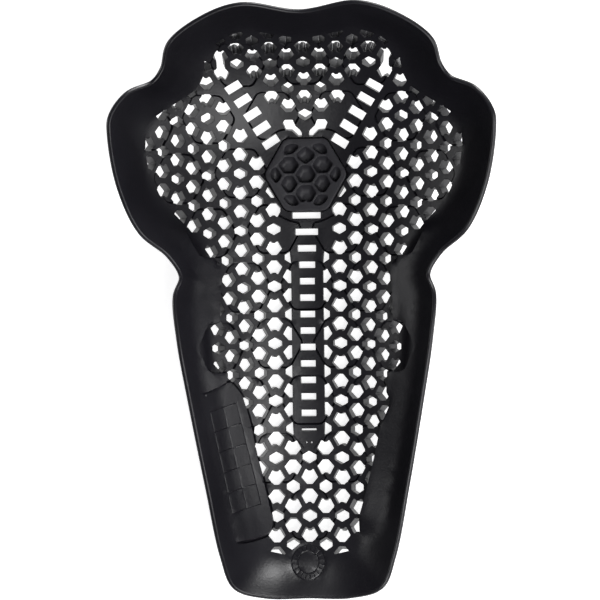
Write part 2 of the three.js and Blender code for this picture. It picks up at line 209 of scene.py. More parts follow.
# Plan outline of the plate, clockwise.
PLATE = ((-46.6, -40.2), (-33.7, -32.8), (-28.6, -39.4), (-25.1, -52.3), (-23, -64.8), (-20.4, -75.3),
         (-15.5, -96.6), (-18.2, -101), (-27, -103), (-37, -101.6))
BOX_CORNER, BOX_DOWN = (-42.3, -46.0), (0.24, -0.97)  # plan corner of the plain boxes, way down them
BOX_WIDE, BOX_HIGH, BOX_COLUMNS, BOX_ROWS = 6.8, 9.2, 2, 5
DISC_PLACE, DISC_RADIUS, DISC_RAISE = (-0.6, -112.2), 8.1, -0.25  # sunken disc at the foot
DISC_RINGS = ((7.3, 40), (4.6, 28))  # radius, number of points
DISC_TICKS, TICK_ENDS = 20, (5.3, 6.6)  # number of ticks, radii of their ends
GROOVE_HALF, GROOVE_DEEP = 0.24, 0.22  # half width and depth of an engraved line
PAD_CLEAR, PLATE_CLEAR, DISC_CLEAR = 0.6, 0.4, 0.6  # the net's holes stay this far outside these
FAR = 9.0  # stands for a distance without limit

# Triangles of the faces.
COLLAR_POINTS, LOBE_POINTS, DISC_POINTS = 72, 40, 48  # along the edges of the bosses and of the disc
LINE_INSIDE = 0.5  # the relief's lines end this far inside the laid-out area
FILL_STEP = 2.4  # spacing of the extra points that keep the triangles even
FILL_ROWS = 0.87  # distance of their rows, as a share of the spacing
FILL_CLEAR = 0.9  # their least distance from other points
FILL_INSIDE = 1  # and from the laid-out area's edge
NET_MERGE, PAD_MERGE = 1e-4, 1e-5  # points closer than this become one
SHARP_ANGLE = 40  # degrees, edges that turn more than this are shaded sharp

# Camera: the photograph looks almost straight into the hollow.
CAMERA_PLACE = (39.0, 1.9, 900.0)
CAMERA_AIM = (-2.15, 1.9, 28.0)
CAMERA_ROLL = -0.7  # degrees
CAMERA_LENS, CAMERA_SENSOR = 122.2, 36

# Studio. Columns of the lights: name, place, aim, width and height in metres, power in watts.
LIGHTS = (
    ("key", (380, -430, 880), (0, 0, 20), (0.6, 0.9), 8),
    ("side", (930, -100, 250), (0, 0, 20), (0.6, 0.3), 2.3),
    ("back", (330, 1050, 300), (0, -60, 20), (0.4, 0.2), 8.5),
    ("fill", (-820, 150, 190), (0, 0, 20), (0.6, 0.3), 1.6),
)
WORLD_COLOUR = (0.05, 0.05, 0.057, 1)
FLOOR_HALF = 3.0  # metres
FLOOR_COLOUR, FLOOR_ROUGHNESS, FLOOR_GLOW = (0.9, 0.9, 0.9, 1), 0.9, 0.85

# Rubbers. Columns: colour, roughness, gloss, grains in a metre, strength of the grain.
SHELL_RUBBER = ((0.0105, 0.01, 0.0135), 0.37, 0.5, 900, 0.3)
PAD_RUBBER = ((0.036, 0.035, 0.041), 0.52, 0.4, 1200, 0.4)
CLOUDS = 38  # slow changes of tint and sheen in a metre
CLOUD_RANGE = (0.3, 0.7)  # part of the noise that is used
CLOUD_DETAIL, GRAIN_DETAIL = 5, 3  # octaves of the noises
TINT_SPREAD = 0.15  # change of the colour, as a share
SHEEN_DOWN, SHEEN_UP = 0.04, 0.05  # change of the roughness
GRAIN_DEPTH = 0.0002  # metres


def smooth(value, low, high):
    share = np.clip((value - low) / (high - low), 0, 1)
    return share * share * (3 - 2 * share)


def chain_height(run, sag):
    return sag * (np.cosh(run / sag) - 1)


def chain_run(length, sag):
    return sag * np.arcsinh(length / sag)


def chain_length(run, sag):
    return sag * np.sinh(run / sag)


def sag_across(y):
    return FOREARM_SAG + (ELBOW_SAG - FOREARM_SAG) * smooth(y, SAG_FROM_Y, SAG_TO_Y)


def field_height(plan):
    """Height of the field's inner face above the table."""
    x, y = plan[:, 0], plan[:, 1]
    across = chain_height(np.maximum(0, np.abs(x) - SPINE_HALF), sag_across(y))
    up = chain_height(np.maximum(0, y - TOP_BEND_Y), TOP_SAG)
    down = chain_height(np.maximum(0, FOOT_BEND_Y - y), FOOT_SAG)
    return WALL + across + up + down


def to_plan(net):
    """Plan places of net places, which are lengths along the surface from the pad's centre."""
    along = net[:, 1] + PAD_Y
    y = np.clip(along, FOOT_BEND_Y, TOP_BEND_Y)
    y = y + chain_run(np.maximum(0, along - TOP_BEND_Y), TOP_SAG)
    y = y - chain_run(np.maximum(0, FOOT_BEND_Y - along), FOOT_SAG)
    bent = np.maximum(0, np.abs(net[:, 0]) - SPINE_HALF)
    level = np.abs(net[:, 0]) - bent
    x = np.sign(net[:, 0]) * (level + chain_run(bent, sag_across(y)))
    return np.column_stack([x, y])


def to_net(plan):
    """The reverse of to_plan."""
    x, y = plan[:, 0], plan[:, 1]
    along = np.clip(y, FOOT_BEND_Y, TOP_BEND_Y)
    along = along + chain_length(np.maximum(0, y - TOP_BEND_Y), TOP_SAG)
    along = along - chain_length(np.maximum(0, FOOT_BEND_Y - y), FOOT_SAG)
    bent = np.maximum(0, np.abs(x) - SPINE_HALF)
    level = np.abs(x) - bent
    across = np.sign(x) * (level + chain_length(bent, sag_across(y)))
    return np.column_stack([across, along - PAD_Y])


def closed_curve(points, samples):
    """Centripetal Catmull-Rom curve through points, the curve that the solid's rim follows."""
    before, start, end, after = (np.roll(points, k, axis=0) for k in (1, 0, -1, -2))

    def knot(a, b):
        return ((a - b) ** 2).sum(axis=1, keepdims=True) ** 0.25

    k0, k1, k2 = knot(before, start), knot(start, end), knot(end, after)
    leave = ((start - before) / k0 - (end - before) / (k0 + k1) + (end - start) / k1) * k1
    arrive = ((end - start) / k1 - (after - start) / (k1 + k2) + (after - end) / k2) * k1
    second = -3 * start + 3 * end - 2 * leave - arrive
    third = 2 * start - 2 * end + leave + arrive
    share = np.linspace(0, 1, samples, endpoint=False)[None, :, None]
    curve = start[:, None] + leave[:, None] * share + second[:, None] * share**2 + third[:, None] * share**3
    return curve.reshape(-1, points.shape[1])


def rim_curves():
    """The lip, with the rim's rise as third value, and the net edge, both anticlockwise."""
    lip = np.array([(x, y, rise) for _, x, y, rise, _, _ in RIM], float)
    net = np.array([(x, y, 0) for _, _, _, _, x, y in RIM], float)
    curves = []
    for right in (lip, net):
        left = right[-2:0:-1] * (-1, 1, 1)
        curves.append(closed_curve(np.vstack([right, left])[::-1], RIM_SAMPLES))
    return curves[0], curves[1][:, :2]


LIP_EDGE, NET_EDGE = rim_curves()


def rim_plan(inward):
    return LIP_EDGE[:, :2] + (NET_EDGE - LIP_EDGE[:, :2]) * inward


def outline_distance(points, outline):
    """How far points lie inside a closed outline, negative outside it."""
    ahead = np.roll(outline, -1, axis=0)
    edge = ahead - outline
    offset = points[:, None] - outline[None]
    share = np.clip((offset * edge).sum(axis=2) / (edge**2).sum(axis=1), 0, 1)
    nearest = np.sqrt(((offset - share[:, :, None] * edge) ** 2).sum(axis=2)).min(axis=1)
    rising = (outline[None, :, 1] > points[:, None, 1]) != (ahead[None, :, 1] > points[:, None, 1])
    height = np.where(edge[:, 1] == 0, 1, edge[:, 1])
    cross_x = outline[:, 0] + edge[:, 0] * offset[:, :, 1] / height
    inside = (rising & (points[:, None, 0] < cross_x)).sum(axis=1) % 2 == 1
    return np.where(inside, nearest, -nearest)


def rim_place(plan):
    """Share of the way from the lip to the net edge, and the rim's rise; the field itself has share 1."""
    inward, rise = np.ones(len(plan)), np.zeros(len(plan))
    outside = np.flatnonzero(outline_distance(plan, NET_EDGE) < 0)
    if len(outside) == 0:
        return inward, rise
    reach = NET_EDGE - LIP_EDGE[:, :2]
    length = np.sqrt((reach**2).sum(axis=1))
    offset = plan[outside, None] - LIP_EDGE[None, :, :2]
    share = (offset * reach).sum(axis=2) / length**2
    side = (reach[:, 0] * offset[:, :, 1] - reach[:, 1] * offset[:, :, 0]) / length
    slack, penalty = 0.2, 1000  # a rim line that ends well short of a place is not picked for it
    past_ends = np.maximum(0, -slack - share) + np.maximum(0, share - 1 - slack)
    miss = np.abs(side) + penalty * past_ends
    pick = np.arange(len(outside))
    near = miss.argmin(axis=1)
    other = (near + np.where(side[pick, near] < 0, 1, -1)) % len(LIP_EDGE)
    a, b = np.abs(side[pick, near]), np.abs(side[pick, other])
    weight = b / np.maximum(a + b, 1e-9)
    inward[outside] = np.minimum(1, weight * share[pick, near] + (1 - weight) * share[pick, other])
    rise[outside] = weight * LIP_EDGE[near, 2] + (1 - weight) * LIP_EDGE[other, 2]
    return inward, rise


def inner_height(plan):
    inward, rise = rim_place(plan)
    return field_height(plan) + rise * (1 - inward) ** 2


def shell_frame(net):
    """Inner face without relief, its unit normals and the wall's thickness at net places."""
    plan = to_plan(net)
    hair = 0.05  # half of the length that the slopes are taken over
    slope_x = inner_height(plan + (hair, 0)) - inner_height(plan - (hair, 0))
    slope_y = inner_height(plan + (0, hair)) - inner_height(plan - (0, hair))
    normal = np.column_stack([-slope_x, -slope_y, np.full(len(plan), 2 * hair)])
    normal /= np.sqrt((normal**2).sum(axis=1, keepdims=True))
    inward, rise = rim_place(plan)
    height = field_height(plan) + rise * (1 - inward) ** 2
    return np.column_stack([plan, height]), normal, LIP + (WALL - LIP) * inward


def hexagon_distance(points, across, rounding):
    """How far points lie outside a rounded hexagon with flats above and below."""
    core = across - rounding
    half_side = core / math.sqrt(3)
    p = np.abs(points)
    fold = np.minimum(-math.sqrt(3) / 2 * p[:, 0] + p[:, 1] / 2, 0)
    p = p - 2 * fold[:, None] * (-math.sqrt(3) / 2, 0.5)
    p = p - np.column_stack([np.clip(p[:, 0], -half_side, half_side), np.full(len(p), core)])
    return np.sqrt((p**2).sum(axis=1)) * np.sign(p[:, 1]) - rounding


def hexagon(radius):
    angles = np.radians(60 * np.arange(6))
    return radius * np.column_stack([np.cos(angles), np.sin(angles)])


def rounded_hexagon(across, rounding):
    turns = np.array((-30, -15, 0, 15, 30))  # degrees round a corner
    points = []
    for k, corner in enumerate(hexagon((across - rounding) * 2 / math.sqrt(3))):
        angles = np.radians(60 * k + turns)
        points.append(corner + rounding * np.column_stack([np.cos(angles), np.sin(angles)]))
    return np.vstack(points)


def rectangle(wide, high):
    return np.array([(-1, -1), (1, -1), (1, 1), (-1, 1)]) * (wide / 2, high / 2)


def circle(radius, count):
    angles = 2 * math.pi * np.arange(count) / count
    return radius * np.column_stack([np.cos(angles), np.sin(angles)])


def turned(points, angle):
    c, s = math.cos(angle), math.sin(angle)
    return points @ np.array([(c, s), (-s, c)])


def area_of(outline):
    ahead = np.roll(outline, -1, axis=0)
    return (outline[:, 0] * ahead[:, 1] - ahead[:, 0] * outline[:, 1]).sum() / 2


def clipped(outline, allowed):
    """The part of an outline where allowed(points) is positive, closed by straight cuts."""
    value = allowed(outline)
    if (value > 0).all():
        return outline
    points = []
    for k in range(len(outline)):
        nxt = (k + 1) % len(outline)
        if value[k] > 0:
            points.append(outline[k])
        if (value[k] > 0) != (value[nxt] > 0):
            share = value[k] / (value[k] - value[nxt])
            points.append(outline[k] + (outline[nxt] - outline[k]) * share)
    return np.array(points).reshape(-1, 2)


def softened(outline, radius):
    """An outline with each corner replaced by a short curve of three points."""
    shortest, most = 0.15, 0.42  # edges left as they are, and the share of an edge that a curve may take
    back = np.roll(outline, 1, axis=0) - outline
    ahead = np.roll(outline, -1, axis=0) - outline
    points = []
    for corner, b, a in zip(outline, back, ahead):
        long_b, long_a = np.hypot(*b), np.hypot(*a)
        if min(long_a, long_b) < shortest:
            points.append(corner)
            continue
        from_point = corner + b / long_b * min(radius, most * long_b)
        to_point = corner + a / long_a * min(radius, most * long_a)
        points.extend([from_point, (from_point + to_point + 2 * corner) / 4, to_point])
    return np.array(points)


def divided(line, longest):
    """An open line with extra points, so that no stretch is longer than the limit."""
    points = [line[:1]]
    for a, b in zip(line[:-1], line[1:]):
        count = max(1, math.ceil(np.hypot(*(b - a)) / longest))
        points.append(a + (b - a) * (np.arange(1, count + 1) / count)[:, None])
    return np.vstack(points)


def closed(outline):
    return np.vstack([outline, outline[:1]])


def shrunk(outline, inset):
    """An anticlockwise outline moved inwards by the inset."""
    along = np.roll(outline, -1, axis=0) - np.roll(outline, 1, axis=0)
    along /= np.sqrt((along**2).sum(axis=1, keepdims=True))
    return outline + np.column_stack([-along[:, 1], along[:, 0]]) * inset


FIELD_OUTLINE = to_net(rim_plan(FIELD_SHARE))
SPLIT_OUTLINE = to_net(rim_plan(RIM_SPLIT))
PLATE_OUTLINE = softened(to_net(np.array(PLATE, float))[::-1], PLATE_ROUND)
DISC_CENTRE = to_net(np.array([DISC_PLACE]))[0]


def net_place(column, rows):
    """Net place of a column and a height in rows above the pad's centre."""
    forearm = smooth(-rows, *NARROW_ROWS[:2]) * (1 - smooth(-rows, *NARROW_ROWS[2:]))
    x = column * COLUMN * (1 - NET_NARROW * smooth(abs(column), *NARROW_COLUMNS) * forearm)
    return np.array([x, rows * (PITCH if rows > 0 else LOW_PITCH) + NET_RISE * (1 - (x / NET_BOW) ** 2)])


def tile_centres():
    """Centres of the sunken rounded hexagons, each holding seven places of the net."""
    for m in range(-(NET_COLUMNS // 2), NET_COLUMNS // 2 + 1):
        for n in range(NET_ROWS[0] // 3, NET_ROWS[1] // 3 + 1):
            centre = net_place(2 * m, 3 * n)
            inside = outline_distance(centre[None], FIELD_OUTLINE)[0] > -TILE_REACH
            if inside and (m + n) % 2 == 0 and (m, n) != (0, 0):
                yield centre


TILES = np.array(list(tile_centres()))


def nearest_tile(net):
    """How far net places lie outside the nearest sunken tile, and their offset from that tile's centre."""
    away = np.array([hexagon_distance(net - centre, TILE_ACROSS, TILE_ROUND) for centre in TILES])
    return away.min(axis=0), net - TILES[away.argmin(axis=0)]


def off_bosses(net):
    """How far net places lie outside the bosses round the pad."""
    collar = np.where(net[:, 1] < 0, np.hypot(net[:, 0], net[:, 1]) - COLLAR_RADIUS, FAR)
    return np.minimum(off_lobes(net), collar)


def tile_distance(net):
    """How far net places lie outside the sunken tiles, which the bosses cut into."""
    return np.maximum(nearest_tile(net)[0], -off_bosses(net))


def flange_fade(plan):
    y0, y1, y2, y3 = FLANGE_Y
    return smooth(plan[:, 1], y0, y1) * (1 - smooth(plan[:, 1], y2, y3))


def flange_reach(plan):
    return FLANGE_IN * flange_fade(plan) * (1 - smooth(plan[:, 1], *FLANGE_IN_Y))


# Where holes may be: each gives how far a net place is from what stays whole.
def in_field(net):
    inside = outline_distance(net, FIELD_OUTLINE)
    past_flange = inside - flange_reach(to_plan(net))
    return np.maximum(past_flange, np.minimum(inside, -tile_distance(net)))


def off_strip(net):
    down, half = zip(*STRIP)
    return np.abs(net[:, 0]) - np.where(net[:, 1] < 0, np.interp(-net[:, 1], down, half), -FAR)


def off_pad(net):
    return hexagon_distance(net, PAD_ACROSS, PAD_ROUND) - PAD_CLEAR


def off_lobes(net):
    return np.hypot(np.abs(net[:, 0]) - LOBE_PLACE[0], net[:, 1] - LOBE_PLACE[1]) - LOBE_RADIUS


def arm_offset(net):
    """Run along and distance from the slanted row of slots on the same side."""
    place = np.column_stack([np.abs(net[:, 0]), net[:, 1]]) - ARM_START
    along = (math.sin(ARM_TURN), math.cos(ARM_TURN))
    return place @ along, place[:, 0] * along[1] - place[:, 1] * along[0]


def off_arms(net):
    run, beside = arm_offset(net)
    across = np.where(beside > 0, beside - ARM_OUT, 2 * (-beside - ARM_IN))
    return np.maximum(across, np.maximum(-PITCH - run, run - ARM_REACH))


def off_plate(net):
    return -outline_distance(net, PLATE_OUTLINE) - PLATE_CLEAR


def off_disc(net):
    return np.hypot(*(net - DISC_CENTRE).T) - DISC_RADIUS - DISC_CLEAR


# A hole whose centre lies further than this under a plain area stays closed.
LIMITS = (
    (in_field, 2),
    (off_strip, 2),
    (off_pad, 1),
    (off_lobes, 1),
    (off_arms, 1),
    (off_plate, 2),
    (off_disc, 2),
)


def star_hole(level):
    """Six-sided hole with a shorter upper flat and a nub on the lower one, or the same upside down."""
    inner = STAR_RADIUS * math.sqrt(3) / 2
    right = [(NUB_HALF / 2, NUB_DEEP - inner), (NUB_HALF, -inner), (STAR_RADIUS / 2, -inner),
             (STAR_RADIUS, STAR_SHIFT), (STAR_SHORT, inner)]
    points = np.array(right + [(-x, y) for x, y in right[::-1]])
    return points if level == 1 else points[::-1] * (1, -1)


def ring_hole(odd):
    """Six-sided hole with corners above and below."""
    wide, high, side = RING_SIZES[odd]
    return np.array([(0, high), (-wide, side), (-wide, -side), (0, -high), (wide, -side), (wide, side)])


def is_worthwhile(outline):
    if len(outline) < 3:
        return False
    around = np.sqrt(((np.roll(outline, -1, axis=0) - outline) ** 2).sum(axis=1)).sum()
    return area_of(outline) > max(SMALLEST_HOLE, THINNEST_HOLE * around)


def net_holes():
    holes = []
    for column in range(-NET_COLUMNS, NET_COLUMNS + 1):
        odd = column % 2
        for row in range(*NET_ROWS):
            level = (row - odd) % 3
            outline = ring_hole(odd) if level == 0 else star_hole(level)
            middle = net_place(column, row + 0.5 * odd)
            at_neck = abs(column) <= 1 and row == 2  # the curved neck holes are there instead
            if at_neck or any(limit(middle[None])[0] < -deep for limit, deep in LIMITS):
                continue
            outline = outline * np.interp(middle[1], *zip(*HOLE_SIZE)) + middle
            for limit, _ in LIMITS:
                if len(outline) > 2:
                    outline = clipped(outline, limit)
            if is_worthwhile(outline):
                holes.append(softened(outline, CORNER_ROUND))
    return holes


def slot_holes():
    holes = []
    for k in range(LADDER_COUNT):
        wide = LADDER_WIDE[k] if k < len(LADDER_WIDE) else SLOT_WIDE
        high = LAST_SLOT_HIGH if k == LADDER_COUNT - 1 else SLOT_HIGH
        holes.append(rectangle(wide, high) - (0, LADDER_START + k * SLOT_PITCH))
    for side in (1, -1):
        for k in range(ARM_COUNT):
            run = k * SLOT_PITCH
            across = ARM_START[0] + run * math.sin(ARM_TURN)
            along = ARM_START[1] + run * math.cos(ARM_TURN)
            slot = turned(rectangle(ARM_WIDE, ARM_HIGH), -side * ARM_TURN) + (side * across, along)
            holes.append(clipped(slot, off_pad))
        holes.append(np.array(NECK_HOLE)[::side] * (side, 1))
        holes.append(rectangle(*WAIST_HOLE[1]) + np.array(WAIST_HOLE[0]) * (side, 1))
    pins = [circle(PIN_RADIUS, PIN_POINTS) + place for place in PIN_HOLES]
    return [softened(hole, CORNER_ROUND) for hole in holes] + pins


def ramp(outside):
    """1 inside an outline, 0 outside it, with the step's flank between."""
    return np.clip(0.5 - outside / STEP, 0, 1)


def box_lines():
    """Plain engraved boxes on the plate."""
    corner = to_net(np.array([BOX_CORNER]))[0]
    down = np.array(BOX_DOWN)
    right = np.array([-down[1], down[0]])
    for k in range(BOX_COLUMNS + 1):
        start = corner + right * BOX_WIDE * k
        yield np.array([start, start + down * BOX_HIGH * BOX_ROWS])
    for k in range(BOX_ROWS + 1):
        start = corner + down * BOX_HIGH * k
        yield np.array([start, start + right * BOX_WIDE * BOX_COLUMNS])


def disc_lines():
    """Rings and ticks engraved on the disc."""
    for radius, count in DISC_RINGS:
        yield closed(circle(radius, count)) + DISC_CENTRE
    tick = np.array([(radius, 0) for radius in TICK_ENDS])
    for k in range(DISC_TICKS):
        yield turned(tick, math.radians(360 / DISC_TICKS * (k + 0.5))) + DISC_CENTRE


def tip_lines():
    """Lines engraved along the sides of the strip's tip."""
    for side in (1, -1):
        yield np.array([(side * half, -down) for down, half in STRIP[-3:-1]])


def groove_lines():
    return [*box_lines(), *tip_lines(), *disc_lines()]


def groove_depth(net):
    deep = np.zeros(len(net))
    for line in groove_lines():
        for a, b in zip(line[:-1], line[1:]):
            edge = b - a
            offset = net - a
            share = np.clip(offset @ edge / (edge @ edge), 0, 1)
            away = np.hypot(*(offset - share[:, None] * edge).T)
            deep = np.maximum(deep, np.clip(1 - away / GROOVE_HALF, 0, 1))
    return deep * GROOVE_DEEP


def flange_lift(plan, inside, inward, from_tile):
    """Thicker rim beside the forearm, with pockets where the tiles reach into it."""
    pocket = ramp(from_tile) * (1 - smooth(-inside, *FLANGE_POCKET))
    flange = flange_fade(plan) * smooth(inward, *FLANGE_SHARE) * ramp(inside - flange_reach(plan))
    return FLANGE_RAISE * flange * (1 - pocket)


def strip_hollow(net):
    across = np.clip(np.abs(net[:, 0]) / SPINE_HALF, 0, 1)
    return DISH * (1 - across**2) * smooth(-net[:, 1], *DISH_BELOW)


def tile_lift(net, plan, inside, from_tile, offset):
    """Sunken tiles with their grooved steps, and the level between them."""
    upper_side = smooth(offset[:, 1] / np.hypot(*offset.T), *TILE_TOP_TURN)
    upper_side = upper_side * smooth(-net[:, 1], *TILE_TOP_BELOW)
    edge = np.interp(from_tile, *zip(*TILE_EDGE))
    edge += (np.interp(from_tile, *zip(*TILE_TOP_EDGE)) - edge) * upper_side
    return edge * smooth(inside + TILE_ON_FLANGE * flange_fade(plan), *TILE_FADE)


def relief(net):
    """How far the inner face stands above the plain surface."""
    plan = to_plan(net)
    inside = outline_distance(net, FIELD_OUTLINE)
    inward, _ = rim_place(plan)
    from_tile, offset = nearest_tile(net)
    from_tile = np.maximum(from_tile, -off_bosses(net))
    lift = flange_lift(plan, inside, inward, from_tile)
    lift -= strip_hollow(net)
    lift += tile_lift(net, plan, inside, from_tile, offset)

    # Plate with a groove along its edge.
    from_plate = -outline_distance(net, PLATE_OUTLINE)
    on_plate = smooth(inward, *PLATE_SHARE)
    lift += (PLATE_RAISE - lift) * ramp(from_plate) * on_plate
    groove = np.clip(1 - np.abs(from_plate - PLATE_GROOVE_AT) / PLATE_GROOVE_HALF, 0, 1)
    lift -= PLATE_GROOVE * groove * on_plate

    # Disc and the pad's seat.
    disc = ramp(np.hypot(*(net - DISC_CENTRE).T) - DISC_RADIUS)
    lift += (DISC_RAISE - lift) * disc
    from_pad = hexagon_distance(net, PAD_ACROSS, PAD_ROUND)
    seat = np.clip(1 - (from_pad - SEAT_STEP[0]) / SEAT_STEP[1], 0, 1)
    return lift - groove_depth(net) - (lift + SEAT_DEPTH) * seat


def relief_lines():
    """Lines that the triangles have to follow, so that the relief's steps come out sharp."""
    lines = []
    for out, _ in TILE_EDGE:
        for centre in TILES:
            lines.append(closed(rounded_hexagon(TILE_ACROSS + out, TILE_ROUND + out) + centre))
        lines.append(circle(COLLAR_RADIUS - out, COLLAR_POINTS)[COLLAR_POINTS // 2 + 1 :])  # lower half
        lobe = closed(circle(LOBE_RADIUS - out, LOBE_POINTS))
        lines.extend(lobe + np.array(LOBE_PLACE) * (side, 1) for side in (1, -1))
    for out in (-STEP / 2, STEP / 2):
        lines.append(closed(circle(DISC_RADIUS + out, DISC_POINTS)) + DISC_CENTRE)
        lines.append(closed(shrunk(FIELD_OUTLINE, FLANGE_IN + out)))
    for out in (SEAT_STEP[0], sum(SEAT_STEP)):
        lines.append(closed(rounded_hexagon(PAD_ACROSS + out, PAD_ROUND + out)))
    for beside in (-PLATE_GROOVE_HALF, 0, PLATE_GROOVE_HALF):
        lines.append(closed(shrunk(PLATE_OUTLINE, -(PLATE_GROOVE_AT + beside))))
    for line in groove_lines():
        along = np.gradient(line, axis=0)
        along /= np.sqrt((along**2).sum(axis=1, keepdims=True))
        across = np.column_stack([along[:, 1], -along[:, 0]])
        lines.extend(line + across * beside for beside in (-GROOVE_HALF, 0, GROOVE_HALF))
    return [divided(line, FILL_STEP) for line in lines]


def inside_stretches(line):
    """The stretches of a line that stay clear of the laid-out area's edge."""
    inside = outline_distance(line, SPLIT_OUTLINE) > LINE_INSIDE
    stretch = []
    for point, keep in zip(line, inside):
        if keep:
            stretch.append(point)
        elif len(stretch) > 1:
            yield np.array(stretch)
            stretch = []
        else:
            stretch = []
    if len(stretch) > 1:
        yield np.array(stretch)


def filling(places):
    """Evenly spread points in the free areas."""
    tree = kdtree.KDTree(len(places))
    for k, (x, y) in enumerate(places):
        tree.insert((x, y, 0), k)
    tree.balance()
    low, high = SPLIT_OUTLINE.min(axis=0), SPLIT_OUTLINE.max(axis=0)
    rows = []
    for k, y in enumerate(np.arange(low[1], high[1], FILL_STEP * FILL_ROWS)):
        xs = np.arange(low[0] + (k % 2) * FILL_STEP / 2, high[0], FILL_STEP)
        rows.append(np.column_stack([xs, np.full(len(xs), y)]))
    points = np.vstack(rows)
    points = points[outline_distance(points, SPLIT_OUTLINE) > FILL_INSIDE]
    far = [tree.find((x, y, 0))[2] > FILL_CLEAR for x, y in points]
    return points[np.array(far)]


def laid_out(holes, lines):
    """Places and triangles of the field and inner rim in net lengths, and the places along their edge."""
    places, faces, links = [SPLIT_OUTLINE], [list(range(len(SPLIT_OUTLINE)))], []
    count = len(SPLIT_OUTLINE)
    for hole in holes:
        faces.append(list(range(count, count + len(hole))))
        places.append(hole)
        count += len(hole)
    for line in lines:
        for stretch in inside_stretches(line):
            links.extend((count + k, count + k + 1) for k in range(len(stretch) - 1))
            places.append(stretch)
            count += len(stretch)
    places.append(filling(np.vstack(places)))
    points, _, triangles, sources, _, owners = delaunay_2d_cdt(
        [Vector(p) for p in np.vstack(places)], links, faces, 0, NET_MERGE)
    net = np.array([tuple(p) for p in points])
    kept = np.array([face for face, owner in zip(triangles, owners) if list(owner) == [0]])
    spot = {source: k for k, found in enumerate(sources) for source in found if source < len(SPLIT_OUTLINE)}
    return net, kept, np.array([spot[k] for k in range(len(SPLIT_OUTLINE))])


def through(net, normal, thick):
    """Unit direction of the holes at net places, and the wall's thickness along it."""
    run, beside = arm_offset(net)
    in_arm = 1 - smooth(np.abs(beside), *ARM_DRAW_BESIDE)
    in_arm = in_arm * smooth(run, *ARM_DRAW_RUN[:2]) * (1 - smooth(run, *ARM_DRAW_RUN[2:]))
    inward, _ = rim_place(to_plan(net))
    share = (DRAW + (ARM_DRAW - DRAW) * in_arm) * smooth(inward, *DRAW_SHARE)
    direction = normal * (1 - share)[:, None] + share[:, None] * (0, 0, 1)
    direction /= np.sqrt((direction**2).sum(axis=1, keepdims=True))
    return direction, thick / (direction * normal).sum(axis=1)


class Skin:
    """Points and faces of one closed surface, in millimetres."""

    def __init__(self):
        self.points = []
        self.faces = []
        self.count = 0

    def add(self, points):
        ids = np.arange(self.count, self.count + len(points))
        self.points.append(np.asarray(points, float))
        self.count += len(points)
        return ids

    def band(self, loop, other):
        """Faces between two closed loops of the same count."""
        ahead, other_ahead = np.roll(loop, -1), np.roll(other, -1)
        self.faces.extend(np.column_stack([loop, ahead, other_ahead, other]).tolist())

    def object(self, name, material):
        mesh = bpy.data.meshes.new(name)
        mesh.from_pydata((np.vstack(self.points) * MM).tolist(), [], self.faces)
        work = bmesh.new()
        work.from_mesh(mesh)
        loose = [v for v in work.verts if not v.link_faces]
        bmesh.ops.delete(work, geom=loose, context="VERTS")
        bmesh.ops.recalc_face_normals(work, faces=work.faces)
        work.to_mesh(mesh)
        work.free()
        mesh.shade_smooth()
        mesh.set_sharp_from_angle(angle=math.radians(SHARP_ANGLE))
        mesh.materials.append(material)
        piece = bpy.data.objects.new(name, mesh)
        bpy.context.scene.collection.objects.link(piece)
        even = piece.modifiers.new("even_shading", "WEIGHTED_NORMAL")
        even.keep_sharp = True
        return piece


def border_of(triangles, edge, count):
    """Directed edges along the holes, with the surface on their left."""
    edges = np.vstack([triangles[:, [0, 1]], triangles[:, [1, 2]], triangles[:, [2, 0]]])
    forward = edges[:, 0] * count + edges[:, 1]
    backward = edges[:, 1] * count + edges[:, 0]
    single = edges[~np.isin(forward, backward)]
    on_edge = np.zeros(count, bool)
    on_edge[edge] = True
    return single[~(on_edge[single[:, 0]] & on_edge[single[:, 1]])]


def inset_direction(net, border, ring):
    """Direction into the hole at each place of the ring, longer at corners."""
    along = net[border[:, 1]] - net[border[:, 0]]
    along /= np.sqrt((along**2).sum(axis=1, keepdims=True))
    into = np.column_stack([along[:, 1], -along[:, 0]])
    total = np.zeros_like(net)
    np.add.at(total, border[:, 0], into)
    np.add.at(total, border[:, 1], into)
    size = np.sqrt((total[ring] ** 2).sum(axis=1, keepdims=True))
    least = 0.6  # keeps the direction from growing too long at sharp corners
    return total[ring] / size / np.maximum(least, size / 2)


def add_hole_walls(skin, net, border, lift, inner, outer):
    """Walls of the holes, with a bevel at both faces."""
    ring = np.unique(border)
    into = inset_direction(net, border, ring)
    place = np.zeros(len(net), int)
    place[ring] = np.arange(len(ring))

    def wall_line(inset, at_inner_face):
        spots = net[ring] + into * inset
        base, normal, thick = shell_frame(spots)
        direction, thick = through(spots, normal, thick)
        height = lift[ring] - EDGE_ROUND if at_inner_face else EDGE_ROUND - thick
        return skin.add(base + direction * height[:, None])[place]

    levels = [inner, wall_line(EDGE_ROUND, True), wall_line(EDGE_ROUND + DRAFT, False), outer]
    a, b = border.T
    for upper, lower in zip(levels[:-1], levels[1:]):
        skin.faces.extend(np.column_stack([upper[b], upper[a], lower[a], lower[b]]).tolist())


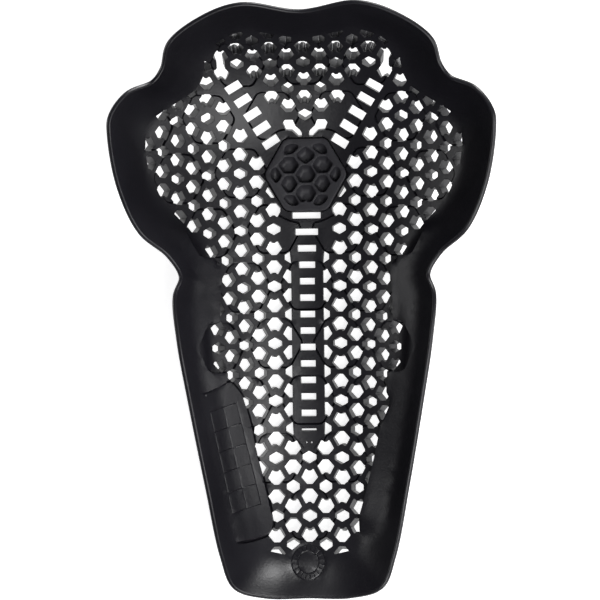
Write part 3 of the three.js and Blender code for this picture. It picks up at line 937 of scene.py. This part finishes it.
def add_rim(skin, inner_edge, outer_edge):
    """Plain rows of the rim and its rounded lip."""
    inner_rows, outer_rows = [], []
    for inward in RIM_ROWS:
        base, normal, thick = shell_frame(to_net(rim_plan(inward)))
        inner_rows.append(base)
        outer_rows.append(base - normal * thick[:, None])
    inner_loops = [skin.add(row) for row in inner_rows] + [inner_edge]
    outer_loops = [skin.add(row) for row in outer_rows] + [outer_edge]
    for loops in (inner_loops, outer_loops):
        for a, b in zip(loops[:-1], loops[1:]):
            skin.band(a, b)
    middle, across = (inner_rows[0] + outer_rows[0]) / 2, (inner_rows[0] - outer_rows[0]) / 2
    beyond = inner_rows[0] - inner_rows[1]
    beyond -= across * ((beyond * across).sum(axis=1) / (across**2).sum(axis=1))[:, None]
    beyond /= np.sqrt((beyond**2).sum(axis=1, keepdims=True))
    previous = inner_loops[0]
    for turn in np.radians(LIP_TURNS):
        bulge = LIP / 2 * LIP_BULGE * math.sin(turn)
        loop = skin.add(middle + across * math.cos(turn) + beyond * bulge)
        skin.band(previous, loop)
        previous = loop
    skin.band(previous, outer_loops[0])


def build_shell(material):
    net, triangles, edge = laid_out(net_holes() + slot_holes(), relief_lines())
    skin = Skin()
    base, normal, thick = shell_frame(net)
    direction, thick = through(net, normal, thick)
    lift = relief(net)
    inner = skin.add(base + direction * lift[:, None])
    outer = skin.add(base - direction * thick[:, None])
    skin.faces.extend(inner[triangles].tolist())
    skin.faces.extend(outer[triangles[:, ::-1]].tolist())
    add_hole_walls(skin, net, border_of(triangles, edge, len(net)), lift, inner, outer)
    add_rim(skin, inner[edge], outer[edge])
    return skin.object("guard_shell_moulding", material)


def pad_cells():
    """Mouths of the pad's blind cells, both sides."""
    cells = []
    for half in MIDDLE_CELLS.values():
        right = np.array(half, float)
        left = right[right[:, 0] > 0] * (-1, 1)
        cells.append(np.vstack([right, left[::-1]])[::-1])
    for outline in SIDE_CELLS.values():
        right = np.array(outline, float)
        cells.extend([right, right[::-1] * (-1, 1)])
    grown = [shrunk(cell, -CELL_GROW) for cell in cells]
    return [softened(softened(cell, CELL_ROUND[0]), CELL_ROUND[1]) for cell in grown]


def build_pad(material):
    skin = Skin()
    top = WALL + PAD_PROUD

    def at(points, height, hollow=0.0):
        rise = hollow * np.minimum(0, (points[:, 0] / PAD_ACROSS) ** 2 - 1)
        return skin.add(np.column_stack([points[:, 0], points[:, 1] + PAD_Y, height + rise]))

    # Outer side, with a rounded upper edge.
    outline = rounded_hexagon(PAD_ACROSS, PAD_ROUND)
    bottom_loop = at(outline, WALL - SEAT_DEPTH + PAD_PLAY)
    loops = [bottom_loop]
    for turn in np.radians(PAD_EDGE_TURNS):
        inset = PAD_EDGE * (1 - math.cos(turn))
        loops.append(at(shrunk(outline, inset), top - PAD_EDGE * (1 - math.sin(turn)), PAD_DISH))
    for a, b in zip(loops[:-1], loops[1:]):
        skin.band(a, b)
    skin.faces.append(bottom_loop[::-1].tolist())

    # Upper face between the cells.
    cells = pad_cells()
    upper = shrunk(outline, PAD_EDGE)
    flat = np.vstack([upper, *cells])
    faces, count = [], 0
    for loop in (upper, *cells):
        faces.append(list(range(count, count + len(loop))))
        count += len(loop)
    _, _, triangles, sources, _, owners = delaunay_2d_cdt(
        [Vector(p) for p in flat], [], faces, 0, PAD_MERGE)
    mouths = [at(cell, top, PAD_DISH) for cell in cells]
    ids = np.concatenate([loops[-1], *mouths])
    origin = [found[0] for found in sources]
    for face, owner in zip(triangles, owners):
        if list(owner) == [0]:
            skin.faces.append([int(ids[origin[k]]) for k in face])

    # Cells: rounded bowls with a small flat floor.
    for cell, mouth in zip(cells, mouths):
        middle = cell.mean(axis=0)
        reach = np.sqrt(((cell - middle) ** 2).sum(axis=1)).mean()
        previous = mouth
        for inset, deep in CELL_BOWL:
            size = 1 - min(CELL_MOST, inset / reach)
            inner = middle + (cell - middle) * size - (0, CELL_SHIFT * inset)
            loop = at(inner, top - deep, PAD_DISH)
            skin.band(previous, loop)
            previous = loop
        skin.faces.append(previous.tolist())
    return skin.object("elbow_pad_cells", material)


def rubber(name, colour, roughness, gloss, grains, grain_strength):
    """Moulded elastomer: dark, satin, with a fine grain and slow changes of sheen."""
    material = bpy.data.materials.new(name)
    material.use_nodes = True
    nodes, links = material.node_tree.nodes, material.node_tree.links
    shader = nodes["Principled BSDF"]
    shader.inputs["Specular IOR Level"].default_value = gloss
    where = nodes.new("ShaderNodeTexCoord")

    slow = nodes.new("ShaderNodeTexNoise")
    slow.inputs["Scale"].default_value = CLOUDS
    slow.inputs["Detail"].default_value = CLOUD_DETAIL
    links.new(where.outputs["Object"], slow.inputs["Vector"])

    tint = nodes.new("ShaderNodeValToRGB")
    for stop, position, spread in zip(tint.color_ramp.elements, CLOUD_RANGE, (-TINT_SPREAD, TINT_SPREAD)):
        stop.position = position
        stop.color = (*[c * (1 + spread) for c in colour], 1)
    links.new(slow.outputs["Fac"], tint.inputs["Fac"])
    links.new(tint.outputs["Color"], shader.inputs["Base Color"])

    sheen = nodes.new("ShaderNodeMapRange")
    sheen.inputs["From Min"].default_value = CLOUD_RANGE[0]
    sheen.inputs["From Max"].default_value = CLOUD_RANGE[1]
    sheen.inputs["To Min"].default_value = roughness - SHEEN_DOWN
    sheen.inputs["To Max"].default_value = roughness + SHEEN_UP
    links.new(slow.outputs["Fac"], sheen.inputs["Value"])
    links.new(sheen.outputs["Result"], shader.inputs["Roughness"])

    fine = nodes.new("ShaderNodeTexNoise")
    fine.inputs["Scale"].default_value = grains
    fine.inputs["Detail"].default_value = GRAIN_DETAIL
    links.new(where.outputs["Object"], fine.inputs["Vector"])
    bump = nodes.new("ShaderNodeBump")
    bump.inputs["Strength"].default_value = grain_strength
    bump.inputs["Distance"].default_value = GRAIN_DEPTH
    links.new(fine.outputs["Fac"], bump.inputs["Height"])
    links.new(bump.outputs["Normal"], shader.inputs["Normal"])
    return material


def build_floor():
    """Plain white floor that glows a little, like a light table."""
    mesh = bpy.data.meshes.new("floor")
    corners = [(x * FLOOR_HALF, y * FLOOR_HALF, 0) for x, y in ((-1, -1), (1, -1), (1, 1), (-1, 1))]
    mesh.from_pydata(corners, [], [(0, 1, 2, 3)])
    material = bpy.data.materials.new("floor_white")
    material.use_nodes = True
    shader = material.node_tree.nodes["Principled BSDF"]
    shader.inputs["Base Color"].default_value = FLOOR_COLOUR
    shader.inputs["Roughness"].default_value = FLOOR_ROUGHNESS
    shader.inputs["Emission Color"].default_value = (1, 1, 1, 1)
    shader.inputs["Emission Strength"].default_value = FLOOR_GLOW
    mesh.materials.append(material)
    floor = bpy.data.objects.new("floor", mesh)
    bpy.context.scene.collection.objects.link(floor)
    floor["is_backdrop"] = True


def aim(thing, place, target, roll=0.0):
    """Puts a light or camera at a place, looking at a target, with +Y upwards in its picture."""
    back = (Vector(place) - Vector(target)).normalized()
    right = Vector((0, 1, 0)).cross(back).normalized()
    turn = Matrix((right, back.cross(right), back)).transposed()
    spin = Matrix.Rotation(math.radians(roll), 3, "Z")
    thing.matrix_world = Matrix.Translation(Vector(place) * MM) @ (turn @ spin).to_4x4()


def add_light(name, place, target, size, power):
    data = bpy.data.lights.new(name, "AREA")
    data.shape = "RECTANGLE"
    data.size, data.size_y = size
    data.energy = power
    light = bpy.data.objects.new(name, data)
    bpy.context.scene.collection.objects.link(light)
    aim(light, place, target)


def build_studio():
    build_floor()
    world = bpy.data.worlds.new("studio")
    world.use_nodes = True
    world.node_tree.nodes["Background"].inputs["Color"].default_value = WORLD_COLOUR
    bpy.context.scene.world = world
    for light in LIGHTS:
        add_light(*light)
    bpy.context.scene.view_settings.view_transform = "Standard"


def build_camera():
    data = bpy.data.cameras.new("camera")
    data.lens = CAMERA_LENS
    data.sensor_width = CAMERA_SENSOR
    camera = bpy.data.objects.new("camera", data)
    bpy.context.scene.collection.objects.link(camera)
    aim(camera, CAMERA_PLACE, CAMERA_AIM, CAMERA_ROLL)
    bpy.context.scene.camera = camera


shell = build_shell(rubber("shell_rubber_black", *SHELL_RUBBER))
pad = build_pad(rubber("pad_rubber_black", *PAD_RUBBER))
for piece, node, slot in ((shell, "guard_shell", "shell_rubber"), (pad, "elbow_pad", "pad_rubber")):
    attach(piece, "root")
    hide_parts(node)
build_studio()
build_camera()

boxes = {"cad": cad_box, "visual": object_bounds()}
{name: [list(corner) for corner in box] for name, box in boxes.items()}
